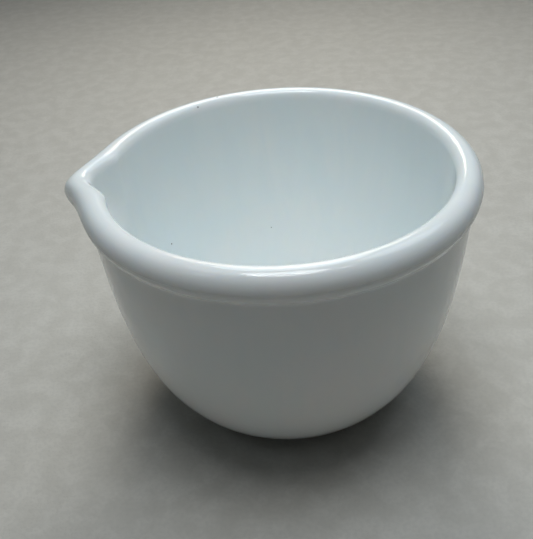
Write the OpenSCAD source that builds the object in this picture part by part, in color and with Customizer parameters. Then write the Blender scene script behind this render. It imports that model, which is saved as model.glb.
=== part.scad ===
// Small mixing bowl of a stand mixer: one piece of pressed white glass with a thick rolled rim, a
// pouring spout and a foot ring. Millimetres, +Z up. The origin is the middle of the foot's flat
// underside, and the spout points along -X.

/* [Bowl] */
// Outside diameter of the rolled rim, without the spout
rim_d = 165; // [155:1:175]
// Height from the table to the top of the rim
bowl_h = 116; // [108:1:124]
// How much the outside diameter of the wall narrows in 100 mm of depth
wall_taper = 12.6; // [8:0.2:16]
// How far the rolled rim stands out from the wall
rim_overhang = 2; // [1.2:0.1:3]
// Smallest glass thickness of the floor
floor_t = 6; // [4:0.5:8]

/* [Rolled rim] */
// Height of the ellipse that the rolled rim's section follows
bead_h = 14; // [11:0.5:16]
// Width of the rolled rim that lies outside its highest point
bead_w = 7; // [6:0.5:9]
// Width of the rounded inner edge of the rim, inside its highest point
rim_edge_w = 4; // [2:0.5:5]
// Height of the rounded inner edge of the rim
rim_edge_h = 5; // [3:0.5:7]
// Height of the short slope that joins the underside of the rolled rim to the wall
under_h = 1.2; // [0.8:0.1:3]

/* [Spout] */
// How far the tip of the spout stands out past the rim
spout_out = 8.2; // [5:0.2:10]
// How far the inside of the rim runs out at the middle of the spout
spout_out_in = 7.2; // [4:0.2:8]
// Half the angle that the spout takes up on the outside of the rim, where it blends in slowly
spout_half = 36; // [30:1:40]
// Half the angle that the spout takes up on the inside of the rim
spout_half_in = 13; // [10:0.5:16]
// How far the lip of the spout lies below the rest of the rim
spout_dip = 1.8; // [0:0.1:3]
// Height of the wall that bulges out below the spout
spout_h = 36; // [26:1:44]

/* [Foot] */
// Diameter of the foot ring
foot_d = 90; // [82:1:94]
// Height of the foot ring
foot_h = 1.5; // [1:0.1:2.5]
// Width of the flat ring that the bowl stands on
foot_ring_w = 7; // [5:0.5:10]

/* [Hidden] */

glass_colour = [0.93, 0.95, 0.95];

rim_r = rim_d / 2;
foot_r = foot_d / 2;

// The wall and the inside are both flat-bottomed bells: a straight taper times a superellipse. A
// higher drop exponent keeps the wall upright for longer, and a higher side exponent makes the
// floor flatter and the corner squarer.
wall_drop = 3.5;
wall_side = 3.2;
inside_drop = 4;
inside_side = 3.6;
inside_taper = 4;

// Rolled rim. Its highest ring lies bead_w in from the outside, and its rounded inner edge runs
// from there down to the inside of the bowl.
bead_half = bead_h / 2;
bead_mid_z = bowl_h - bead_half;
bead_top_r = rim_r - bead_w;
inside_r = bead_top_r - rim_edge_w;
edge_foot_z = bowl_h - rim_edge_h;
// The round section gives way to that slope this many degrees below its widest ring
round_end = 50;
under_foot_z = bead_mid_z - bead_half * sin(round_end) - under_h;

// Wall: its radius at the height of the rim is set by the overhang, and its bell is as deep as it
// has to be to come down on the foot ring
foot_step = 1;
wall_top_r = rim_r - rim_overhang;
wall_narrowing = wall_taper / 200;
foot_depth = bowl_h - foot_h;
foot_share = (foot_r + foot_step) / (wall_top_r - wall_narrowing * foot_depth);
wall_depth = foot_depth / pow(1 - pow(foot_share, wall_side), 1 / wall_drop);

// Inside: from the rim's inner edge down to the floor
recess_h = foot_h;
inside_narrowing = inside_taper / 200;
inside_depth = bowl_h - recess_h - floor_t;

// Underside: the flat ring that the bowl stands on, and the shallow recess inside it with its
// sloping side
corner_r = 0.6;
ring_in_r = foot_r - foot_ring_w;
recess_slope = 2;
recess_r = ring_in_r - recess_slope * recess_h;

// The spout acts fully on the rolled rim and fades out down the wall to this height
spout_foot_z = bowl_h - spout_h;
// Roundness of its tip in degrees, and the power that turns its sides from straight to hollow:
// on the outside of the rim it is a sharp V with long hollow sides, on the inside a round notch
spout_tip = 2.5;
spout_tip_in = 8;
spout_hollow = 4.7;
spout_hollow_in = 1.6;

// Steps along each curve of the section, across the spout, and round the rest of the bowl
wall_steps = 13;
bead_steps = 14;
edge_steps = 4;
spout_steps = 36;
round_steps = 64;

// Point of a bell profile at an angle from 0 at its top to 90 at the middle of its bottom
function bell_point(a, top_r, narrowing, depth, drop, side) =
    let (d = depth * pow(sin(a), 2 / drop))
    [(top_r - narrowing * d) * pow(cos(a), 2 / side), bowl_h - d];
// Angle at which a bell profile reaches a height
function bell_angle(z, depth, drop) = asin(pow((bowl_h - z) / depth, drop / 2));
// Part of an ellipse round a centre, from one angle to another
function arc_points(centre, half_w, half_h, from, to, steps) =
    [for (i = [0 : steps])
        let (a = from + (to - from) * i / steps)
        centre + [half_w * cos(a), half_h * sin(a)]];

// Outside of the wall, from the foot ring up to the underside of the rolled rim
wall_low = bell_angle(foot_h, wall_depth, wall_drop);
wall_high = bell_angle(under_foot_z, wall_depth, wall_drop);
wall_points = [for (i = [0 : wall_steps])
    bell_point(wall_low + (wall_high - wall_low) * i / wall_steps,
               wall_top_r, wall_narrowing, wall_depth, wall_drop, wall_side)];

// Inside, from the rim's inner edge down to the last ring of the floor
inside_high = bell_angle(edge_foot_z, inside_depth, inside_drop);
inside_low = 86;
inside_points = [for (i = [1 : wall_steps])
    bell_point(inside_high + (inside_low - inside_high) * i / wall_steps,
               inside_r, inside_narrowing, inside_depth, inside_drop, inside_side)];

// Rolled rim from its underside over its top, and its rounded inner edge
bead_points = arc_points([bead_top_r, bead_mid_z], bead_w, bead_half, -round_end, 90, bead_steps);
edge_points = [for (i = [1 : edge_steps])
    let (a = 90 + 90 * i / edge_steps)
    [bead_top_r + rim_edge_w * cos(a), edge_foot_z + rim_edge_h * sin(a)]];

// Half section of the bowl as [radius, height], from the foot's outer edge up the wall, over the rim
// and down the inside. Its two ends close on the axis.
section = concat(
    [[foot_r - corner_r, 0], [foot_r, corner_r]],
    wall_points, bead_points, edge_points, inside_points);

// How far an angle lies across the spout: 0 in the middle, 1 at its side, and rounded at the tip
function spout_across(a, half, tip) =
    (sqrt(a * a + tip * tip) - tip) / (sqrt(half * half + tip * tip) - tip);
// Share of the spout's reach at an angle from its middle, from 1 to 0
function spout_share(a, half, tip, hollow) =
    abs(a) >= half ? 0 : pow(1 - spout_across(a, half, tip), hollow);
// Share of the spout's reach at a height: 1 on the rolled rim, 0 at the spout's lower end
function spout_fade(z) =
    let (t = min(1, max(0, (z - spout_foot_z) / (under_foot_z - spout_foot_z))))
    t * t * (3 - 2 * t);
// Value between the one at the inside of the rim and the one at its outside
function between(inner, outer, outward) = inner + (outer - inner) * outward;
// Point of the section turned to an angle from the spout's middle, and moved out and down by it
function ring_point(p, a) =
    let (outward = min(1, max(0, (p[0] - inside_r) / (rim_r - inside_r))),
         half = between(spout_half_in, spout_half, outward),
         tip = between(spout_tip_in, spout_tip, outward),
         hollow = between(spout_hollow_in, spout_hollow, outward),
         share = spout_share(a, half, tip, hollow) * spout_fade(p[1]),
         r = p[0] + between(spout_out_in, spout_out, outward) * share)
    [-r * cos(a), r * sin(a), p[1] - spout_dip * share];

// Directions of the sections, as angles from the spout's middle: closest together at its tip
directions = concat(
    [for (j = [0 : spout_steps - 1])
        let (t = 2 * j / spout_steps - 1)
        spout_half * t * sqrt(abs(t))],
    [for (j = [0 : round_steps - 1]) spout_half + (360 - 2 * spout_half) * j / round_steps]);

// Wall, rolled rim, spout and floor, with a flat underside
module glass() {
    n = len(section);
    m = len(directions);
    under_pole = n * m;
    floor_pole = n * m + 1;
    points = concat(
        [for (a = directions, p = section) ring_point(p, a)],
        [[0, 0, 0], [0, 0, bowl_h - inside_depth]]);
    sides = [for (j = [0 : m - 1], i = [0 : n - 2])
        let (here = j * n + i, next = (j + 1) % m * n + i)
        each [[here, next + 1, here + 1], [here, next, next + 1]]];
    poles = [for (j = [0 : m - 1])
        let (here = j * n, next = (j + 1) % m * n)
        each [[under_pole, next, here], [floor_pole, here + n - 1, next + n - 1]]];
    polyhedron(points, concat(sides, poles), convexity = 6);
}

// Shallow round recess that leaves the flat ring of the foot
module recess() {
    below = 1;
    rotate_extrude($fn = 120)
        polygon([[0, -below], [ring_in_r + recess_slope * below, -below],
                 [recess_r, recess_h], [0, recess_h]]);
}

// The whole bowl is one piece of glass
module bowl() {
    color(glass_colour) difference() {
        glass();
        recess();
    }
}

bowl();
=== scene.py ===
"""Visual model of a small mixing bowl: one piece of pressed white opal glass.

Metres, +Z up, in the frame of the CAD part: the origin is the middle of the foot's flat underside
and the spout points along -X. The CAD node is replaced by a finer mesh of the same outline, worked
out from the CAD part's own box.
"""

import math

import bmesh
import bpy
import numpy as np
from mathutils import Matrix, Vector


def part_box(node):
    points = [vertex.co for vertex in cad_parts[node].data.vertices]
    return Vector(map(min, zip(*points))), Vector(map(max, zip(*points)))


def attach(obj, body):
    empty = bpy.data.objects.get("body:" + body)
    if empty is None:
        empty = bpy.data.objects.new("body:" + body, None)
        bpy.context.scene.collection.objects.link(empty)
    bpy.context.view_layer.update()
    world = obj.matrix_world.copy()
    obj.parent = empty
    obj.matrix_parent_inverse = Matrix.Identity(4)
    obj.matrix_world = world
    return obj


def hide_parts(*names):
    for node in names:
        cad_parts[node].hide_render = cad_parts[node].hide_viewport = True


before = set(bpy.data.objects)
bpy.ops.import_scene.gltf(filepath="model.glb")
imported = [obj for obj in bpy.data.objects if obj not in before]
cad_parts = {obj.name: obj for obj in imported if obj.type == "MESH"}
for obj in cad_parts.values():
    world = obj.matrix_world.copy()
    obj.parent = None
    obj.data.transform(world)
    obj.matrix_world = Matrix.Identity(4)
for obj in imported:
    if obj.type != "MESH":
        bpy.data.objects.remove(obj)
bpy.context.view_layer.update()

MM = 0.001

# ---------------------------------------------------------------- sizes

box_low, box_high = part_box("bowl")
BOWL_H = box_high[2]
# The widest ring touches the box on the side away from the spout
RIM_R = box_high[0]
SPOUT_OUT = -box_low[0] - RIM_R

# Rolled rim: the part outside its highest ring, the rounded inner edge, and the sloping underside
BEAD_W = 7.0 * MM
BEAD_HALF = 7.0 * MM
EDGE_W, EDGE_H = 4.0 * MM, 5.0 * MM
ROUND_END = 50
UNDER_H = 1.2 * MM

# Wall and inside: straight tapers times superellipses
RIM_OVERHANG = 2.0 * MM
WALL_NARROWING = 0.063
WALL_DROP, WALL_SIDE = 3.5, 3.2
INSIDE_NARROWING = 0.02
INSIDE_DROP, INSIDE_SIDE = 4.0, 3.6

# Foot ring and the recess inside it
FOOT_R = 45.0 * MM
FOOT_H = 1.5 * MM
FOOT_STEP = 1.0 * MM
RING_IN_R = 38.0 * MM
RECESS_R = 35.0 * MM
FLOOR_T = 6.0 * MM

# How far from each corner its rounding starts
RECESS_ROUND, RING_IN_ROUND = 0.8 * MM, 0.5 * MM
RING_OUT_ROUND, FOOT_STEP_ROUND = 0.6 * MM, 0.5 * MM
COVE_ROUND = 0.9 * MM
# The wall's own points stop this far below the rim's underside, which leaves room for the cove
COVE_ROOM = 1.2 * MM

# Spout, each pair for the inside and the outside of the rim: its reach, half the angle that it
# takes up, the roundness of its tip, and how hollow its sides are
SPOUT_H = 36.0 * MM
SPOUT_DIP = 1.8 * MM
SPOUT_REACH = (7.2 * MM, SPOUT_OUT)
SPOUT_HALF = (math.radians(13), math.radians(36))
SPOUT_TIP = (math.radians(8), math.radians(2.5))
SPOUT_HOLLOW = (1.6, 4.7)

# Mould seam round the widest part of the rolled rim
SEAM_DROP, SEAM_W = 7.4 * MM, 0.3 * MM
SEAM_DEPTH, SEAM_STEP = 0.16 * MM, 0.08 * MM

# Worked out from the sizes above
BEAD_MID_Z = BOWL_H - BEAD_HALF
BEAD_TOP_R = RIM_R - BEAD_W
INSIDE_R = BEAD_TOP_R - EDGE_W
UNDER_TOP_Z = BEAD_MID_Z - BEAD_HALF * math.sin(math.radians(ROUND_END))
UNDER_FOOT_Z = UNDER_TOP_Z - UNDER_H
SEAM_Z = BOWL_H - SEAM_DROP
WALL_TOP_R = RIM_R - RIM_OVERHANG
FOOT_DEPTH = BOWL_H - FOOT_H
FOOT_SHARE = (FOOT_R + FOOT_STEP) / (WALL_TOP_R - WALL_NARROWING * FOOT_DEPTH)
WALL_DEPTH = FOOT_DEPTH / (1 - FOOT_SHARE**WALL_SIDE) ** (1 / WALL_DROP)
INSIDE_DEPTH = BOWL_H - FOOT_H - FLOOR_T


# ---------------------------------------------------------------- section of the bowl

def bell_point(angle, top_r, narrowing, depth, drop, side):
    """Point of a bell profile, from angle 0 at its top to 90 degrees at the middle of its bottom."""
    d = depth * math.sin(angle) ** (2 / drop)
    return (top_r - narrowing * d) * max(0.0, math.cos(angle)) ** (2 / side), BOWL_H - d


def bell_angle(z, depth, drop):
    """Angle at which a bell profile reaches a height."""
    return math.asin(((BOWL_H - z) / depth) ** (drop / 2))


def bell(start, end, steps, *shape):
    """Points of a bell profile between two angles."""
    return [bell_point(start + (end - start) * i / steps, *shape) for i in range(steps + 1)]


def arc(centre, half_w, half_h, start, end, steps):
    """Points of an elliptical arc in the section's plane, angles in degrees."""
    angles = [math.radians(start + (end - start) * i / steps) for i in range(steps + 1)]
    return [(centre[0] + half_w * math.cos(a), centre[1] + half_h * math.sin(a)) for a in angles]


def rounded(before, corner, after, radius, steps):
    """Points of a curve that rounds off a corner between two straight stretches."""
    c = np.array(corner)
    to_before, to_after = np.array(before) - c, np.array(after) - c
    start = c + to_before / np.linalg.norm(to_before) * radius
    end = c + to_after / np.linalg.norm(to_after) * radius
    t = [i / steps for i in range(steps + 1)]
    return [tuple((1 - u) ** 2 * start + 2 * u * (1 - u) * c + u * u * end) for u in t]


def seamed(point):
    """Moves a point of the rolled rim in by the mould's seam: a fine groove over a tiny step."""
    r, z = point
    below = (SEAM_Z - z) / SEAM_W
    groove = SEAM_DEPTH * math.exp(-below * below)
    step = SEAM_STEP * min(1.0, max(0.0, below / 2))
    fade = min(1.0, max(0.0, (z - UNDER_TOP_Z) / SEAM_W))
    return r - groove - step * fade, z


def bowl_section():
    """Half section as (radius, height), from the recess's middle round to the middle of the floor."""
    wall_shape = (WALL_TOP_R, WALL_NARROWING, WALL_DEPTH, WALL_DROP, WALL_SIDE)
    inside_shape = (INSIDE_R, INSIDE_NARROWING, INSIDE_DEPTH, INSIDE_DROP, INSIDE_SIDE)
    recess_steps = 8
    recess = [(RECESS_R * i / recess_steps, FOOT_H) for i in range(recess_steps)]
    ring_in, ring_out = (RING_IN_R, 0.0), (FOOT_R, 0.0)
    recess += rounded((0.0, FOOT_H), (RECESS_R, FOOT_H), ring_in, RECESS_ROUND, 5)
    low = bell_angle(FOOT_H, WALL_DEPTH, WALL_DROP)
    high = bell_angle(UNDER_FOOT_Z - COVE_ROOM, WALL_DEPTH, WALL_DROP)
    wall = bell(low, high, 90, *wall_shape)
    ring = rounded((RECESS_R, FOOT_H), ring_in, ring_out, RING_IN_ROUND, 4)
    ring += rounded(ring_in, ring_out, (FOOT_R, FOOT_H), RING_OUT_ROUND, 6)
    ring += rounded(ring_out, (FOOT_R, FOOT_H), wall[1], FOOT_STEP_ROUND, 4)[:-1]
    # The wall runs up to the rim's underside through a small cove
    wall_end = bell_point(bell_angle(UNDER_FOOT_Z, WALL_DEPTH, WALL_DROP), *wall_shape)
    bead_arc = arc((BEAD_TOP_R, BEAD_MID_Z), BEAD_W, BEAD_HALF, -ROUND_END, 90, 140)
    bead = [seamed(point) for point in bead_arc]
    cove = rounded(wall[-1], wall_end, bead[0], COVE_ROUND, 10)
    edge = arc((BEAD_TOP_R, BOWL_H - EDGE_H), EDGE_W, EDGE_H, 90, 180, 20)[1:]
    top = bell_angle(BOWL_H - EDGE_H, INSIDE_DEPTH, INSIDE_DROP)
    inside = bell(top, math.pi / 2, 80, *inside_shape)[1:]
    return recess + ring + wall[1:] + cove + bead + edge + inside


# ---------------------------------------------------------------- spout

def smooth(t):
    """Smooth step from 0 to 1."""
    t = np.clip(t, 0.0, 1.0)
    return t * t * (3 - 2 * t)


def spout_share(angle, outward, z):
    """How strongly the spout moves a point, from 0 to 1, by its angle from the spout's middle."""
    half, tip, hollow = (pair[0] + (pair[1] - pair[0]) * outward
                         for pair in (SPOUT_HALF, SPOUT_TIP, SPOUT_HOLLOW))
    across = (np.hypot(angle, tip) - tip) / (np.hypot(half, tip) - tip)
    spout_foot_z = BOWL_H - SPOUT_H
    fade = smooth((z - spout_foot_z) / (UNDER_FOOT_Z - spout_foot_z))
    return np.clip(1 - across, 0.0, 1.0) ** hollow * fade


def directions():
    """Angles of the sections from the spout's middle, closest together at its tip."""
    fine, coarse = 96, 192
    half = SPOUT_HALF[1]
    across = [half * t * math.sqrt(abs(t)) for t in (2 * i / fine - 1 for i in range(fine))]
    rest = 2 * math.pi - 2 * half
    return across + [half + rest * i / coarse for i in range(coarse)]


# ---------------------------------------------------------------- mesh

def build_bowl():
    """Sweeps the section round the axis as quads, with fans at the two ends of the section."""
    section = bowl_section()
    rings = np.array(section[1:-1])
    angles = directions()
    mesh = bmesh.new()
    grid = []
    outward = np.clip((rings[:, 0] - INSIDE_R) / (RIM_R - INSIDE_R), 0.0, 1.0)
    reach = SPOUT_REACH[0] + (SPOUT_REACH[1] - SPOUT_REACH[0]) * outward
    for a in angles:
        share = spout_share(a, outward, rings[:, 1])
        r = rings[:, 0] + reach * share
        z = rings[:, 1] - SPOUT_DIP * share
        grid.append([mesh.verts.new((-ri * math.cos(a), ri * math.sin(a), zi)) for ri, zi in zip(r, z)])
    under = mesh.verts.new((0, 0, section[0][1]))
    floor = mesh.verts.new((0, 0, section[-1][1]))
    for here, after in zip(grid, grid[1:] + grid[:1]):
        mesh.faces.new((under, after[0], here[0]))
        mesh.faces.new((floor, here[-1], after[-1]))
        for i in range(len(rings) - 1):
            mesh.faces.new((here[i], after[i], after[i + 1], here[i + 1]))
    for face in mesh.faces:
        face.smooth = True
    data = bpy.data.meshes.new("bowl_glass")
    mesh.to_mesh(data)
    mesh.free()
    piece = bpy.data.objects.new("bowl_glass", data)
    bpy.context.scene.collection.objects.link(piece)
    return piece


# ---------------------------------------------------------------- materials

class Nodes:
    """Short names for the node calls that the materials use."""

    def __init__(self, name):
        self.material = bpy.data.materials.new(name)
        self.material.use_nodes = True
        self.tree = self.material.node_tree
        self.shader = self.tree.nodes["Principled BSDF"]
        self.place = self.tree.nodes.new("ShaderNodeTexCoord").outputs["Object"]

    def add(self, kind, inputs=(), **settings):
        node = self.tree.nodes.new(kind)
        for key, value in settings.items():
            setattr(node, key, value)
        for key, value in dict(inputs).items():
            if isinstance(value, bpy.types.NodeSocket):
                self.tree.links.new(value, node.inputs[key])
            else:
                node.inputs[key].default_value = value
        return node

    def set(self, socket, value):
        if isinstance(value, bpy.types.NodeSocket):
            self.tree.links.new(value, self.shader.inputs[socket])
        else:
            self.shader.inputs[socket].default_value = value

    def noise(self, scale, detail=2.0, distortion=0.0, vector=None):
        return self.add("ShaderNodeTexNoise", {
            "Vector": vector or self.place, "Scale": scale, "Detail": detail,
            "Distortion": distortion}).outputs["Fac"]

    def stretched(self, x, y, z):
        """The object's own coordinates, scaled along each axis."""
        return self.add("ShaderNodeMapping", {"Vector": self.place, "Scale": (x, y, z)}).outputs[0]

    def spread(self, value, low, high, to_low=0.0, to_high=1.0):
        """Maps a value's range smoothly to another range."""
        return self.add("ShaderNodeMapRange", {
            "Value": value, "From Min": low, "From Max": high, "To Min": to_low, "To Max": to_high},
            interpolation_type="SMOOTHSTEP").outputs[0]

    def math(self, operation, a, b):
        return self.add("ShaderNodeMath", {0: a, 1: b}, operation=operation).outputs[0]

    def mix(self, share, a, b):
        """Mixes two colours."""
        node = self.add("ShaderNodeMix", data_type="RGBA")
        for socket, value in zip((node.inputs[0], node.inputs[6], node.inputs[7]), (share, a, b)):
            if isinstance(value, bpy.types.NodeSocket):
                self.tree.links.new(value, socket)
            else:
                socket.default_value = value
        return node.outputs[2]

    def bump(self, height, distance, strength=1.0, under=None):
        inputs = {"Height": height, "Distance": distance, "Strength": strength}
        if under:
            inputs["Normal"] = under
        return self.add("ShaderNodeBump", inputs).outputs[0]


def opal_glass():
    """White opal glass: slightly translucent and fire-polished, with faint flow, smudges and pits."""
    m = Nodes("opal_glass")
    height = m.add("ShaderNodeSeparateXYZ", {0: m.place}).outputs[2]

    # Cloudy white: cool, with faint warmer drifts and flow lines drawn upwards by the pressing
    cloud = m.spread(m.noise(16, 3, 0.6), 0.35, 0.68)
    flow = m.spread(m.noise(1.0, 4, 1.2, m.stretched(60, 60, 14)), 0.40, 0.70)
    white = m.mix(cloud, (0.885, 0.950, 0.962, 1), (0.922, 0.958, 0.952, 1))
    white = m.mix(m.math("MULTIPLY", flow, 0.35), white, (0.85, 0.92, 0.94, 1))

    # Seeds in the glass: sparse tiny pits with a dark middle, and fine pale specks
    pit_cells = m.add("ShaderNodeTexVoronoi", {"Vector": m.place, "Scale": 62.0, "Randomness": 1.0})
    pits = m.spread(pit_cells.outputs["Distance"], 0.018, 0.030, 1.0, 0.0)
    speck_cells = m.add("ShaderNodeTexVoronoi", {"Vector": m.place, "Scale": 95.0, "Randomness": 1.0})
    specks = m.spread(speck_cells.outputs["Distance"], 0.020, 0.034, 1.0, 0.0)
    white = m.mix(m.math("MULTIPLY", specks, 0.5), white, (0.97, 0.98, 0.97, 1))
    white = m.mix(m.math("MULTIPLY", pits, 0.85), white, (0.16, 0.16, 0.15, 1))

    # The flat of the foot ring is scuffed grey where it has slid on counters
    foot = m.spread(height, 0.1 * MM, 0.7 * MM, 1.0, 0.0)
    scuffs = m.spread(m.noise(1.0, 6, 0.0, m.stretched(900, 260, 900)), 0.40, 0.62)
    worn = m.math("MULTIPLY", foot, scuffs)
    m.set("Base Color", m.mix(m.math("MULTIPLY", worn, 0.6), white, (0.55, 0.55, 0.53, 1)))

    # Gloss: clean polish, with faint handling smudges and a dull foot
    smudges = m.spread(m.noise(24, 5, 1.5), 0.48, 0.72, 0.065, 0.135)
    grain = m.spread(m.noise(420, 2), 0.3, 0.7, -0.008, 0.012)
    polish = m.math("ADD", smudges, grain)
    m.set("Roughness", m.math("ADD", polish, m.math("MULTIPLY", worn, 0.42)))

    # Surface: soft waves of the pressed glass, chill marks across them, fine orange peel, pits
    waves = m.bump(m.noise(26, 1), 0.55 * MM)
    chill = m.bump(m.noise(1.0, 2, 0.3, m.stretched(30, 30, 150)), 0.05 * MM, under=waves)
    peel = m.bump(m.noise(520, 3), 0.010 * MM, under=chill)
    dents = m.bump(m.math("SUBTRACT", 1.0, pits), 0.12 * MM, under=peel)
    m.set("Normal", dents)

    m.set("IOR", 1.5)
    m.set("Subsurface Weight", 0.4)
    m.set("Subsurface Radius", (1.0, 0.85, 0.7))
    m.set("Subsurface Scale", 3 * MM)
    return m.material


def floor_material():
    """Plain pale matt surface with a faint mineral mottle."""
    m = Nodes("pale_floor")
    mottle = m.spread(m.noise(90, 6, 0.4), 0.35, 0.68)
    grit = m.spread(m.noise(520, 3), 0.42, 0.62)
    pale = m.mix(mottle, (0.55, 0.53, 0.485, 1), (0.61, 0.59, 0.545, 1))
    m.set("Base Color", m.mix(m.math("MULTIPLY", grit, 0.25), pale, (0.49, 0.475, 0.445, 1)))
    m.set("Roughness", m.spread(mottle, 0.0, 1.0, 0.62, 0.72))
    m.set("Normal", m.bump(grit, 0.05 * MM))
    return m.material


# ---------------------------------------------------------------- stage, lights and camera

def add_floor():
    """Floor far wider than the bowl, which stands on it."""
    half = 3.0
    data = bpy.data.meshes.new("floor")
    corners = [(-half, -half, 0), (half, -half, 0), (half, half, 0), (-half, half, 0)]
    data.from_pydata(corners, [], [(0, 1, 2, 3)])
    floor = bpy.data.objects.new("floor", data)
    data.materials.append(floor_material())
    bpy.context.scene.collection.objects.link(floor)


def add_lamp(name, azimuth, elevation, distance, size, watts, colour):
    """Round area lamp aimed at the bowl. Azimuth 0 is over +Y, and 90 over +X."""
    a, e = math.radians(azimuth), math.radians(elevation)
    to_lamp = Vector((math.sin(a) * math.cos(e), math.cos(a) * math.cos(e), math.sin(e)))
    data = bpy.data.lights.new(name, "AREA")
    data.shape = "DISK"
    data.size = size
    data.energy = watts
    data.color = colour
    lamp = bpy.data.objects.new(name, data)
    lamp.location = Vector((0, 0, BOWL_H)) + to_lamp * distance
    lamp.rotation_mode = "QUATERNION"
    lamp.rotation_quaternion = to_lamp.to_track_quat("Z", "Y")
    bpy.context.scene.collection.objects.link(lamp)


def add_world():
    """Faint cool light from all round."""
    world = bpy.data.worlds.new("studio")
    world.use_nodes = True
    back = world.node_tree.nodes["Background"]
    back.inputs["Color"].default_value = (0.88, 0.94, 1.0, 1)
    back.inputs["Strength"].default_value = 0.03
    bpy.context.scene.world = world


def add_camera():
    """Camera a forearm's length away, above the rim and tilted a little to one side."""
    away, above = 276.7 * MM, 143.8 * MM
    side = math.radians(1.0)
    yaw, pitch, roll = math.radians(-1.72), math.radians(35.67), math.radians(-4.44)
    data = bpy.data.cameras.new("camera")
    data.lens = 50.1
    data.sensor_width = 36.0
    camera = bpy.data.objects.new("camera", data)
    turn = Matrix.Rotation(side, 3, "Z")
    level_ahead = Vector((math.sin(yaw), math.cos(yaw), 0))
    level_right = Vector((math.cos(yaw), -math.sin(yaw), 0))
    up = Vector((0, 0, 1))
    ahead = level_ahead * math.cos(pitch) - up * math.sin(pitch)
    tilted_up = level_ahead * math.sin(pitch) + up * math.cos(pitch)
    right = level_right * math.cos(roll) + tilted_up * math.sin(roll)
    top = tilted_up * math.cos(roll) - level_right * math.sin(roll)
    axes = Matrix((turn @ right, turn @ top, turn @ -ahead)).transposed()
    place = turn @ Vector((0, -away, above)) + Vector((0, 0, BOWL_H))
    camera.matrix_world = Matrix.Translation(place) @ axes.to_4x4()
    bpy.context.scene.collection.objects.link(camera)
    bpy.context.scene.camera = camera


bowl = build_bowl()
bowl.data.materials.append(opal_glass())
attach(bowl, "root")
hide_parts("bowl")

add_floor()
add_world()
NEUTRAL, PALE = (1.0, 0.99, 0.97), (0.93, 0.98, 1.0)
WARM, COOL = (1.0, 0.92, 0.78), (0.77, 0.89, 0.99)
# Soft boxes close by, which shade the bowl
add_lamp("soft_top", 180, 86, 0.75, 0.35, 2.1, PALE)
add_lamp("soft_front", 180, 75, 0.7, 0.35, 0.15, NEUTRAL)
add_lamp("soft_left", -90, 75, 0.7, 0.35, 0.3, COOL)
add_lamp("soft_right", 60, 55, 0.7, 0.35, 0.6, COOL)
add_lamp("soft_above_back", 0, 60, 0.7, 0.35, 1.15, COOL)
add_lamp("soft_back", 0, 38, 0.7, 0.35, 1.4, WARM)
# Small lamps farther off, which give the short highlights along the rim
add_lamp("spot_left", -126, 79, 1.6, 0.10, 0.3, NEUTRAL)
add_lamp("spot_middle", 130, 84, 1.6, 0.10, 0.3, NEUTRAL)
add_lamp("spot_right", 105, 71, 1.6, 0.10, 0.3, NEUTRAL)
# Two larger cool lamps as far off, on either side of the camera
add_lamp("window_left", -122, 53, 1.6, 0.3, 0.35, COOL)
add_lamp("window_right", 159, 60, 1.6, 0.2, 0.15, COOL)
add_camera()
bpy.context.scene.view_settings.view_transform = "Standard"
